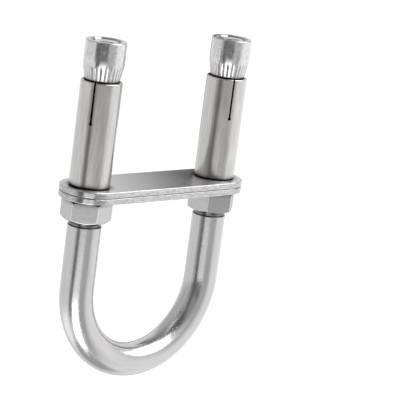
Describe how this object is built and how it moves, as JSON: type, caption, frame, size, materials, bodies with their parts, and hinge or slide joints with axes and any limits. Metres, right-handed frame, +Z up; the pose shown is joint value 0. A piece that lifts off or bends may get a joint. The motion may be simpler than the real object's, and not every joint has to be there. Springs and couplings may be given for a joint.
{
  "type": "hammock hook",
  "caption": "Ceiling hook for a hammock: a round-bar U-bolt whose threaded ends carry stacked plates, hexagon nuts, slotted expansion sleeves and fluted cones.",
  "frame": {"origin": "middle of the upper plate's top face, halfway between the two legs, where the plate meets the ceiling", "axes": "+X along the plate towards the right leg, +Y across the plate, +Z up along the legs into the ceiling"},
  "size_m": [0.0658, 0.0182, 0.1024],
  "materials": {
    "polished_bar": "polished stainless steel bar",
    "plate_steel": "stainless sheet, brushed lengthwise",
    "nut_steel": "bright stainless, cold formed",
    "sleeve_steel": "stainless tube, satin",
    "cone_steel": "bright stainless, rolled flutes"
  },
  "bodies": {
    "bolt": {"u_bolt": "polished_bar", "left_cone": "cone_steel", "right_cone": "cone_steel"},
    "stack": {"upper_plate": "plate_steel", "lower_plate": "plate_steel", "left_sleeve": "sleeve_steel", "right_sleeve": "sleeve_steel"},
    "left_nut": {"left_nut": "nut_steel"},
    "right_nut": {"right_nut": "nut_steel"}
  },
  "joints": [
    {"name": "stack_slide", "type": "slide", "parent": "bolt", "child": "stack", "axis": [0, 0, 1], "range_m": [0, 0.0008]},
    {"name": "left_nut_turn", "type": "hinge", "parent": "stack", "child": "left_nut", "pos_m": [-0.0245, 0, -0.007], "axis": [0, 0, 1], "range_deg": [0, 230.4]},
    {"name": "right_nut_turn", "type": "hinge", "parent": "stack", "child": "right_nut", "pos_m": [0.0245, 0, -0.007], "axis": [0, 0, 1], "range_deg": [0, 230.4]}
  ],
  "couplings": [
    {"joint": "left_nut_turn", "follows": "stack_slide", "rad_per_m": 5026.5},
    {"joint": "right_nut_turn", "follows": "stack_slide", "rad_per_m": 5026.5}
  ]
}
